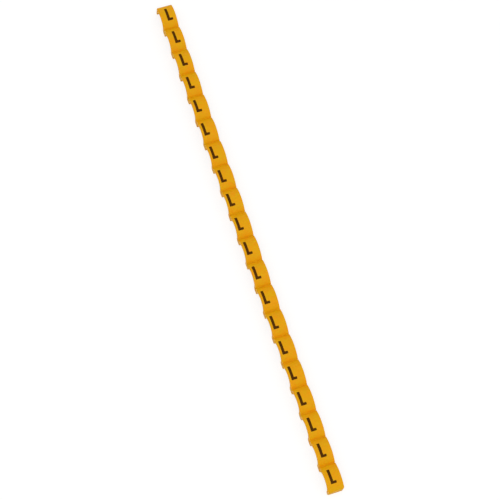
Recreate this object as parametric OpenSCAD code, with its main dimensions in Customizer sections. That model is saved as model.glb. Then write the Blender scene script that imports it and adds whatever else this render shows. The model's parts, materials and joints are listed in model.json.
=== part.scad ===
// A straight strip of clip-on cable markers, moulded in one piece.
// X runs along the wires, Y along the strip, and Z up through the arched faces.
// The feet stand on Z = 0, and the origin lies under the middle of the strip.

/* [Strip] */
// Markers in the strip
marker_count = 20; // [3:1:30]
// Distance from one marker to the next, in mm
pitch = 5; // [4.6:0.1:6]
// Width of the strip, measured along a wire, in mm
strip_width = 3; // [2:0.1:5]
// Radius of the four upright corners at the strip's ends, in mm
end_corner_radius = 0.3; // [0.1:0.05:0.6]

/* [Wire seat] */
// Diameter of the round seat that closes on a wire, in mm
seat_diameter = 3.6; // [3:0.1:4]
// How far the seat's wall runs on below the middle of the wire, in degrees
grip_angle = 6; // [2:1:15]
// Radius of each foot's inner edge, which leads the wire in, in mm
lead_in_radius = 0.5; // [0.1:0.05:0.6]
// Wall between the wire and the crown of the face, in mm
crown_wall = 0.4; // [0.3:0.05:1]

/* [Printed face] */
// Radius of the arched face, in mm
face_radius = 3.2; // [3:0.1:8]
// Radius where the face turns down into a joint, in mm
shoulder_radius = 0.6; // [0.1:0.05:0.9]

/* [Joint] */
// Slit between two neighbouring markers, in mm
slit = 0.06; // [0.04:0.01:0.2]
// Depth of the groove between two faces, in mm
groove_depth = 0.2; // [0.05:0.05:0.4]
// Thickness of the web that is snapped to part two markers, in mm
web_thickness = 0.5; // [0.2:0.05:0.8]
// How far the web's two edges stand back from the sides of the strip, in mm
web_inset = 0.1; // [0.05:0.05:0.4]

/* [Hidden] */
$fn = 96;

// Half the length of one marker between its two end walls
half_length = (pitch - slit) / 2;
seat_radius = seat_diameter / 2;
// Half the mouth between the two legs, at its narrowest
mouth_half = seat_radius * cos(grip_angle);
// A foot's round takes at most three quarters of its thickness
foot_radius = min(lead_in_radius, 0.75 * (half_length - mouth_half));
seat_height = foot_radius + seat_radius * sin(grip_angle);
crown_height = seat_height + seat_radius + crown_wall;

// The shoulder rounds touch the arched face and the upright end walls
face_centre = crown_height - face_radius;
shoulder_y = half_length - shoulder_radius;
shoulder_rise = sqrt(pow(face_radius - shoulder_radius, 2) - pow(shoulder_y, 2));
shoulder_z = face_centre + shoulder_rise;
// Where the arc of the face ends and a shoulder begins
arc_half = face_radius * shoulder_y / (face_radius - shoulder_radius);
arc_end_z = face_centre + face_radius * shoulder_rise / (face_radius - shoulder_radius);

web_top = arc_end_z - groove_depth;
web_width = strip_width - 2 * web_inset;
// The web reaches into both neighbours as far as the feet are rounded
web_length = slit + 2 * foot_radius;

first_y = -(marker_count - 1) * pitch / 2;
// How far the cutting shapes pass the faces they cut
past = 1;

// One marker seen along the wire: arched face, upright end walls and two legs
module marker_profile() {
    intersection() {
        translate([0, face_centre]) circle(r = face_radius);
        translate([-arc_half, foot_radius]) square([2 * arc_half, crown_height]);
    }
    translate([-half_length, foot_radius]) square([2 * half_length, shoulder_z - foot_radius]);
    for (side = [0, 1]) mirror([side, 0]) {
        translate([shoulder_y, shoulder_z]) circle(r = shoulder_radius);
        foot_profile();
    }
}

// The lower end of one leg: round on the wire's side, square at the joint
module foot_profile() {
    round_y = mouth_half + foot_radius;
    intersection() {
        translate([round_y, foot_radius]) circle(r = foot_radius);
        square([round_y, 2 * foot_radius]);
    }
    translate([round_y, 0]) square([half_length - round_y, 2 * foot_radius]);
}

// One marker before its seat is cut
module marker_blank(width = strip_width) {
    rotate([90, 0, 90]) linear_extrude(height = width, center = true) marker_profile();
}

// The last marker at the +Y end, with its two outer corners rounded
module end_blank() {
    corner_x = strip_width / 2 - end_corner_radius;
    corner_y = half_length - end_corner_radius;
    intersection() {
        marker_blank(width = strip_width + past);
        translate([0, 0, -past]) linear_extrude(height = crown_height + 2 * past) {
            translate([-strip_width / 2, -pitch]) square([strip_width, pitch + corner_y]);
            translate([-corner_x, 0]) square([2 * corner_x, half_length]);
            for (side = [-1, 1]) translate([side * corner_x, corner_y]) circle(r = end_corner_radius);
        }
    }
}

// The thin bridge between two neighbours, centred on their slit
module web() {
    translate([-web_width / 2, -web_length / 2, web_top - web_thickness])
        cube([web_width, web_length, web_thickness]);
}

// The round seat of one wire, lying across the strip
module wire_seat() {
    translate([0, 0, seat_height])
        rotate([0, 90, 0])
            cylinder(r = seat_radius, h = strip_width + 2 * past, center = true);
}

module marker_strip() {
    color([0.88, 0.62, 0.07])
    difference() {
        union() {
            for (i = [1 : marker_count - 2]) {
                translate([0, first_y + i * pitch, 0]) marker_blank();
            }
            for (side = [0, 1]) mirror([0, side, 0]) {
                translate([0, -first_y, 0]) end_blank();
            }
            for (i = [0 : marker_count - 2]) {
                translate([0, first_y + (i + 0.5) * pitch, 0]) web();
            }
        }
        for (i = [0 : marker_count - 1]) {
            translate([0, first_y + i * pitch, 0]) wire_seat();
        }
    }
}

marker_strip();
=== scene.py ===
# %% [markdown]
# # A strip of clip-on cable markers
# The real thing is one small moulding in soft yellow plastic: a row of arched markers that snap
# apart and clip on to wires, each with the same letter printed on its face in black ink. The packed
# CAD model already has the true form, so it is loaded as it is. Blender adds what a drawing leaves
# out: softened edges, the finish of the plastic, the print, the light and the camera.

# %% Load the frame
import json
import math

import bmesh
import bpy
from mathutils import Matrix, Vector
from mathutils.bvhtree import BVHTree


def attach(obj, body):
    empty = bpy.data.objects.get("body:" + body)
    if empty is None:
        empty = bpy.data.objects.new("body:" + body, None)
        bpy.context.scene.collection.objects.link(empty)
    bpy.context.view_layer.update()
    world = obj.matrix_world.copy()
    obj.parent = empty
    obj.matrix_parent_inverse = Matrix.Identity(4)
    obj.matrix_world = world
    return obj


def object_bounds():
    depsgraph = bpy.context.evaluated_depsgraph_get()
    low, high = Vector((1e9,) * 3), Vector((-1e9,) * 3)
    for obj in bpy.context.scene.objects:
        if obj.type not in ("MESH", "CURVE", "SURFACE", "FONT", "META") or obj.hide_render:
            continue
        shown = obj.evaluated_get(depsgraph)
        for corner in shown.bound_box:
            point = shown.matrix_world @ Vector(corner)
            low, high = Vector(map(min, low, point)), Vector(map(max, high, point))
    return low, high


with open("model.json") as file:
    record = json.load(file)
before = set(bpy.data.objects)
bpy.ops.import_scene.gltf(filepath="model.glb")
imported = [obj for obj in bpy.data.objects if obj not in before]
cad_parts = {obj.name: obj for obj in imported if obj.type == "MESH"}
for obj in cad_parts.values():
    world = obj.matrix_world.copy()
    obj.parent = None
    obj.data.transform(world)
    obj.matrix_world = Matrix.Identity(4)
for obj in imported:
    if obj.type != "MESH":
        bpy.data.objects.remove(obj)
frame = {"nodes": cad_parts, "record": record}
cad_low, cad_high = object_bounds()
strip = frame["nodes"]["marker_strip"]
MM = 0.001
print("CAD box, mm:", [round((b - a) / MM, 3) for a, b in zip(cad_low, cad_high)])

# %% [markdown]
# ## Where the markers are
# Every marker has one round wire seat, and the record lists each seat as a mount. Their places
# give the marker centres along the strip, so the print stays on the markers if the strip is ever
# changed. They are sorted from the end that the photograph shows at the top.

# %% Marker centres
seats = [m for m in frame["record"]["mounts"] if m["name"].startswith("wire_seat")]
marker_y = sorted((m["pos_m"][1] for m in seats), reverse=True)
pitch = marker_y[0] - marker_y[1]
print(f"{len(marker_y)} markers, {pitch / MM:.2f} mm apart")

# %% [markdown]
# ## The moulding's edges
# A moulded edge is never knife sharp: the tool leaves a small round that catches the light. Cutting
# rounds by hand on every marker would be slow, so modifiers do it on the CAD mesh itself. The mesh
# arrives with its corners split and its flat sides cut into long triangles. Weld joins the corners,
# Decimate in planar mode melts the triangles back into whole faces, and only then can Bevel run
# clean along the real edges. The round is less than half the slit between two markers, so that the
# rounds of two neighbours never run into each other. Weighted normals keep the flat sides flat.

# %% Soften the edges
EDGE_ROUND = 0.025 * MM
EDGE_STEPS = 3
SAME_POINT = 0.0005 * MM
FLAT_ENOUGH = math.radians(0.5)
SHARP_ENOUGH = math.radians(40)


def soften_edges(moulding):
    """Adds the four modifiers in the order in which they have to run."""
    weld = moulding.modifiers.new("join corners", "WELD")
    weld.merge_threshold = SAME_POINT
    flat = moulding.modifiers.new("whole faces", "DECIMATE")
    flat.decimate_type = "DISSOLVE"
    flat.angle_limit = FLAT_ENOUGH
    rounds = moulding.modifiers.new("edge rounds", "BEVEL")
    rounds.width = EDGE_ROUND
    rounds.segments = EDGE_STEPS
    rounds.limit_method = "ANGLE"
    rounds.angle_limit = SHARP_ENOUGH
    rounds.use_clamp_overlap = True
    normals = moulding.modifiers.new("even shading", "WEIGHTED_NORMAL")
    normals.keep_sharp = True


for face in strip.data.polygons:
    face.use_smooth = True
soften_edges(strip)
softened = strip.evaluated_get(bpy.context.evaluated_depsgraph_get()).data
print("moulding:", len(strip.data.polygons), "faces in,", len(softened.polygons), "out")

# %% [markdown]
# ## Soft yellow plastic
# Soft marker plastic is dyed right through. Up close the colour clouds a little where the dye
# flowed, and the tool's fine spark texture breaks the gloss into a satin sheen. A flat colour would
# look like paint, so two noises do this: a slow one mixes an orange yellow with a greener one, and
# a fine one drives the roughness and a very shallow bump. A little light also sinks into the
# plastic and comes out close by, which softens the thin edges, so some subsurface scattering is
# mixed in.
#
# The noises are sized in metres and fixed to the object, so they stay put when it moves.

# %% A material and a noise to work with
CLOUD_SIZE = 1.3 * MM
GRAIN_SIZE = 0.09 * MM


def new_material(name):
    """A new material, with its node tree and its main shader."""
    made = bpy.data.materials.new(name)
    made.use_nodes = True
    tree = made.node_tree
    return made, tree, tree.nodes["Principled BSDF"]


def noise(tree, size, detail=3.0):
    """A noise whose blobs are about this size, in metres, fixed to the object."""
    place = tree.nodes.new("ShaderNodeTexCoord")
    made = tree.nodes.new("ShaderNodeTexNoise")
    made.inputs["Scale"].default_value = 1.0 / size
    made.inputs["Detail"].default_value = detail
    tree.links.new(place.outputs["Object"], made.inputs["Vector"])
    return made


plastic, tree, shader = new_material("yellow_plastic")
clouds = noise(tree, CLOUD_SIZE)
grain = noise(tree, GRAIN_SIZE, detail=2.0)
print("noise scales:", [round(n.inputs["Scale"].default_value) for n in (clouds, grain)], "per m")

# %% Colour clouds in the dye
ORANGE_YELLOW = (0.832, 0.352, 0.0012)
GREEN_YELLOW = (0.764, 0.396, 0.0004)


def ramp(tree, source, low, high, start=0.3, end=0.7):
    """Turns a noise into a colour between two others."""
    made = tree.nodes.new("ShaderNodeValToRGB")
    made.color_ramp.elements[0].position = start
    made.color_ramp.elements[0].color = (*low, 1)
    made.color_ramp.elements[1].position = end
    made.color_ramp.elements[1].color = (*high, 1)
    tree.links.new(source, made.inputs["Fac"])
    return made


dye = ramp(tree, clouds.outputs["Fac"], ORANGE_YELLOW, GREEN_YELLOW)
tree.links.new(dye.outputs["Color"], shader.inputs["Base Color"])
print("dye runs from", ORANGE_YELLOW, "to", GREEN_YELLOW)

# %% Satin sheen and fine texture
SATIN_LOW, SATIN_HIGH = 0.44, 0.58
PLASTIC_GLOSS = 0.11
GRAIN_DEPTH = 0.004 * MM
GRAIN_STRENGTH = 0.25


def span(tree, source, low, high):
    """Stretches a value from 0 to 1 over the given range."""
    made = tree.nodes.new("ShaderNodeMapRange")
    made.inputs["To Min"].default_value = low
    made.inputs["To Max"].default_value = high
    tree.links.new(source, made.inputs["Value"])
    return made


def bump(tree, shader, source, depth, strength):
    """Lets a noise tilt the surface a little, as if it stood this deep, in metres."""
    made = tree.nodes.new("ShaderNodeBump")
    made.inputs["Distance"].default_value = depth
    made.inputs["Strength"].default_value = strength
    tree.links.new(source, made.inputs["Height"])
    tree.links.new(made.outputs["Normal"], shader.inputs["Normal"])


satin = span(tree, grain.outputs["Fac"], SATIN_LOW, SATIN_HIGH)
tree.links.new(satin.outputs["Result"], shader.inputs["Roughness"])
shader.inputs["Specular IOR Level"].default_value = PLASTIC_GLOSS
bump(tree, shader, grain.outputs["Fac"], GRAIN_DEPTH, GRAIN_STRENGTH)
print("roughness from", SATIN_LOW, "to", SATIN_HIGH)

# %% Light inside the plastic
SCATTER_SHARE = 0.25
SCATTER_REACH = (1.0, 0.45, 0.05)
SCATTER_DEPTH = 0.25 * MM

shader.inputs["Subsurface Weight"].default_value = SCATTER_SHARE
shader.inputs["Subsurface Radius"].default_value = SCATTER_REACH
shader.inputs["Subsurface Scale"].default_value = SCATTER_DEPTH
strip.data.materials.clear()
strip.data.materials.append(plastic)
print("plastic:", len(tree.nodes), "nodes")

# %% [markdown]
# ## The printed letter
# Each face carries a plain letter in two strokes, the code of the wire it goes on. A text object
# would bring in a font and leave little say in how its mesh is cut, so the letter is drawn flat as
# one outline. Its corners are rounded a little, as ink leaves them, and it is cut into narrow bands
# across its height, so that it can bend later on.

# %% The letter's outline
LETTER_TALL = 2.66 * MM
LETTER_WIDE = 1.08 * MM
STROKE = 0.51 * MM
FOOT = 0.45 * MM


def letter_outline():
    """The letter's corners, anticlockwise from its lower left, centred on its own box."""
    left, bottom = -LETTER_WIDE / 2, -LETTER_TALL / 2
    return [
        (left, bottom),
        (left + LETTER_WIDE, bottom),
        (left + LETTER_WIDE, bottom + FOOT),
        (left + STROKE, bottom + FOOT),
        (left + STROKE, bottom + LETTER_TALL),
        (left, bottom + LETTER_TALL),
    ]


print("outline:", len(letter_outline()), "corners")

# %% Round its corners and cut it into bands
CORNER = 0.09 * MM
CORNER_STEPS = 4
CIRCLE_PROFILE = 0.5
BAND = 0.12 * MM


def flat_letter():
    """The letter as a flat mesh, cut into bands so that it can bend along its height."""
    letter = bmesh.new()
    letter.faces.new([letter.verts.new((x, y, 0)) for x, y in letter_outline()])
    bmesh.ops.bevel(
        letter, geom=letter.verts[:], affect="VERTICES",
        offset=CORNER, segments=CORNER_STEPS, profile=CIRCLE_PROFILE,
    )
    for i in range(1, int(LETTER_TALL / BAND) + 1):
        everything = letter.verts[:] + letter.edges[:] + letter.faces[:]
        level = -LETTER_TALL / 2 + i * BAND
        bmesh.ops.bisect_plane(
            letter, geom=everything, dist=SAME_POINT, plane_co=(0, level, 0), plane_no=(0, 1, 0)
        )
    return letter


sample = flat_letter()
print("one letter:", len(sample.faces), "bands")
sample.free()

# %% [markdown]
# ## Where the print sits
# On the photograph the print wanders: it starts near the middle of the first face, slides to one
# side over the next few, and comes part of the way back at the far end. Setting each letter by hand
# would hide that rule in a list of numbers, so two smooth steps along the strip follow it instead.
# Each step has a length, counted in markers.

# %% Print drift
DRIFT_START = 0.22 * MM
DRIFT_AWAY, AWAY_OVER = 0.76 * MM, 5.0
DRIFT_BACK, BACK_OVER = 0.42 * MM, 4.5
BACK_FROM = 15


def smooth_step(value):
    """Eases from 0 to 1, and stays there on either side."""
    value = min(max(value, 0.0), 1.0)
    return value * value * (3 - 2 * value)


def print_drift(marker):
    """How far the letter sits to the side on this marker, counted from the first."""
    away = smooth_step(marker / AWAY_OVER)
    back = smooth_step((marker - BACK_FROM) / BACK_OVER)
    return DRIFT_START - DRIFT_AWAY * away + DRIFT_BACK * back


print("print drift, mm:", [round(print_drift(i) / MM, 2) for i in range(len(marker_y))])

# %% [markdown]
# ## Ink on a curved face
# Ink is a film that follows the face under it, so a flat letter would float off at both ends.
# Shrinkwrap could pull it down and Solidify could thicken it, but dropping each point by a ray
# shows plainly where the film begins and ends: its top just above the face, and its root just
# inside the plastic, so that no gap opens at a low angle. The print is one object, as it is one
# pass of ink.

# %% One letter on one face
LETTER_UP = 0.15 * MM
INK_TOP = 0.010 * MM
INK_ROOT = 0.030 * MM
DOWN = Vector((0, 0, -1))


def laid_letter(surface, centre_x, centre_y):
    """A letter with its top just above the face and its root just inside the plastic."""
    letter = flat_letter()
    sheet = bmesh.ops.extrude_face_region(letter, geom=letter.faces[:])
    raised = {v for v in sheet["geom"] if isinstance(v, bmesh.types.BMVert)}
    for v in letter.verts:
        start = Vector((v.co.x + centre_x, v.co.y + centre_y, cad_high.z + pitch))
        face_z = surface.ray_cast(start, DOWN)[0].z
        v.co = Vector((start.x, start.y, face_z + (INK_TOP if v in raised else -INK_ROOT)))
    bmesh.ops.recalc_face_normals(letter, faces=letter.faces[:])
    mesh = bpy.data.meshes.new("one letter")
    letter.to_mesh(mesh)
    letter.free()
    return mesh


faces_below = BVHTree.FromObject(strip, bpy.context.evaluated_depsgraph_get())
sample = laid_letter(faces_below, print_drift(0), marker_y[0] + LETTER_UP)
heights = [v.co.z for v in sample.vertices]
rise = (max(heights) - min(heights)) / MM
print(f"one letter: {rise:.2f} mm from its lowest point to its highest")
bpy.data.meshes.remove(sample)

# %% The whole print
def lay_print(name, surface):
    """One object with a letter on every marker."""
    ink = bmesh.new()
    for i, y in enumerate(marker_y):
        letter = laid_letter(surface, print_drift(i), y + LETTER_UP)
        ink.from_mesh(letter)
        bpy.data.meshes.remove(letter)
    mesh = bpy.data.meshes.new(name)
    ink.to_mesh(mesh)
    ink.free()
    made = bpy.data.objects.new(name, mesh)
    bpy.context.scene.collection.objects.link(made)
    return made


letters = lay_print("printed_letters", faces_below)
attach(letters, "root")
print("print:", len(letters.data.polygons), "faces")

# %% [markdown]
# ## The ink
# Marker ink is close to black with a brown cast over yellow plastic. It dries a little uneven, thin
# in some specks and thicker in others, and duller than the plastic under it. One fine noise gives
# all three: it mixes two browns, varies the roughness and lifts the surface very slightly.

# %% Ink material
THICK_INK = (0.053, 0.016, 0.0006)
THIN_INK = (0.108, 0.038, 0.001)
SPECK_SIZE = 0.12 * MM
DULL_LOW, DULL_HIGH = 0.55, 0.75
INK_GLOSS = 0.05
SPECK_DEPTH = 0.002 * MM
SPECK_STRENGTH = 0.3

ink_finish, tree, shader = new_material("black_ink")
specks = noise(tree, SPECK_SIZE)
tint = ramp(tree, specks.outputs["Fac"], THICK_INK, THIN_INK)
tree.links.new(tint.outputs["Color"], shader.inputs["Base Color"])
dull = span(tree, specks.outputs["Fac"], DULL_LOW, DULL_HIGH)
tree.links.new(dull.outputs["Result"], shader.inputs["Roughness"])
shader.inputs["Specular IOR Level"].default_value = INK_GLOSS
bump(tree, shader, specks.outputs["Fac"], SPECK_DEPTH, SPECK_STRENGTH)
letters.data.materials.append(ink_finish)
print("ink:", len(tree.nodes), "nodes")

# %% [markdown]
# ## Floor
# The photograph has a white ground with hardly any shadow. More light on the scene would wash out
# the yellow, so the floor is plain pale paper for the light. What the camera sees of it is a darker
# paper with a light of its own, which adds up to white, and the strip's shadow stays on it, only
# fainter.

# %% White paper
PAPER_FOR_LIGHT, PAPER_FOR_CAMERA = 0.70, 0.30
PAPER_GLOW = 0.74
PAPER_ROUGHNESS = 0.9
WHITE = (1, 1, 1, 1)


def camera_only(tree):
    """1 for what the camera sees, straight or by reflection, and 0 for light on the object."""
    path = tree.nodes.new("ShaderNodeLightPath")
    either = tree.nodes.new("ShaderNodeMath")
    either.operation = "MAXIMUM"
    tree.links.new(path.outputs["Is Camera Ray"], either.inputs[0])
    tree.links.new(path.outputs["Is Glossy Ray"], either.inputs[1])
    all_three = tree.nodes.new("ShaderNodeMath")
    all_three.operation = "MAXIMUM"
    tree.links.new(either.outputs[0], all_three.inputs[0])
    tree.links.new(path.outputs["Is Transmission Ray"], all_three.inputs[1])
    return all_three.outputs[0]


paper, tree, shader = new_material("white_paper")
shader.inputs["Roughness"].default_value = PAPER_ROUGHNESS
shader.inputs["Specular IOR Level"].default_value = 0.0
shader.inputs["Emission Color"].default_value = WHITE
seen = camera_only(tree)
pale = span(tree, seen, PAPER_FOR_LIGHT, PAPER_FOR_CAMERA)
tree.links.new(pale.outputs["Result"], shader.inputs["Base Color"])
lift = span(tree, seen, 0.0, PAPER_GLOW)
tree.links.new(lift.outputs["Result"], shader.inputs["Emission Strength"])
print("paper:", len(tree.nodes), "nodes")

# %% Lay the floor
FLOOR_SIZE = 3.0

bpy.ops.mesh.primitive_plane_add(size=FLOOR_SIZE, location=(0, 0, cad_low.z))
floor = bpy.context.object
floor.name = "floor"
floor.data.materials.append(paper)
print("floor at", cad_low.z, "m")

# %% [markdown]
# ## Light
# The arches in the photograph are lit softly from all round, a touch more from the near end, and
# they darken only where they turn down into a joint. A white sky does most of that work. One wide
# and weak lamp over the near end adds the touch; a stronger one would cut hard shadows into the
# joints.

# %% White sky
SKY_LIGHT, SKY_SEEN = 0.80, 1.0

world = bpy.data.worlds.new("white sky")
bpy.context.scene.world = world
world.use_nodes = True
sky = world.node_tree.nodes["Background"]
sky.inputs["Color"].default_value = WHITE
level = span(world.node_tree, camera_only(world.node_tree), SKY_LIGHT, SKY_SEEN)
world.node_tree.links.new(level.outputs["Result"], sky.inputs["Strength"])
print("sky light:", SKY_LIGHT)

# %% Soft lamp
LAMP_AT = (-0.16, -0.30, 0.60)
LAMP_WIDTH = 0.5
LAMP_WATTS = 1.0


def soft_lamp(name, place, width, watts):
    """A square lamp that faces the middle of the strip."""
    data = bpy.data.lights.new(name, "AREA")
    data.size = width
    data.energy = watts
    lamp = bpy.data.objects.new(name, data)
    bpy.context.scene.collection.objects.link(lamp)
    lamp.location = place
    lamp.rotation_mode = "QUATERNION"
    lamp.rotation_quaternion = (-Vector(place)).to_track_quat("-Z", "Y")
    return lamp


key = soft_lamp("key", LAMP_AT, LAMP_WIDTH, LAMP_WATTS)
print("lamp:", key.data.energy, "W from", [round(c, 2) for c in key.location])

# %% [markdown]
# ## The camera
# The strip lies slantwise in the picture, its lower end a little nearer. A pinhole camera was
# matched to the edges of the strip in the photograph, by trying tilts, distance and lens until the
# edges of the CAD model fell on them: it looks down from above, leaning to the strip's left and to
# its near end. Blender counts the lens and the sensor in millimetres, and all the rest in metres.

# %% Camera
CAMERA_AT = Vector((-54.231, -91.556, 290.810)) * MM
CAMERA_BACK = Vector((-0.17614, -0.28958, 0.94081)).normalized()
CAMERA_UP = Vector((0.27995, 0.90155, 0.32991))
LENS_LENGTH = 119.32
SENSOR_WIDTH = 36.0
NEAREST, FURTHEST = 0.01, 20.0

lens = bpy.data.cameras.new("camera")
lens.lens = LENS_LENGTH
lens.sensor_width = SENSOR_WIDTH
lens.clip_start = NEAREST
lens.clip_end = FURTHEST
camera = bpy.data.objects.new("camera", lens)
bpy.context.scene.collection.objects.link(camera)
across = CAMERA_UP.cross(CAMERA_BACK).normalized()
upward = CAMERA_BACK.cross(across)
turn = Matrix((across, upward, CAMERA_BACK)).transposed()
camera.matrix_world = Matrix.Translation(CAMERA_AT) @ turn.to_4x4()
bpy.context.scene.camera = camera
bpy.context.scene.view_settings.view_transform = "Standard"
print("camera:", round(CAMERA_AT.length / MM), "mm from the middle of the strip")
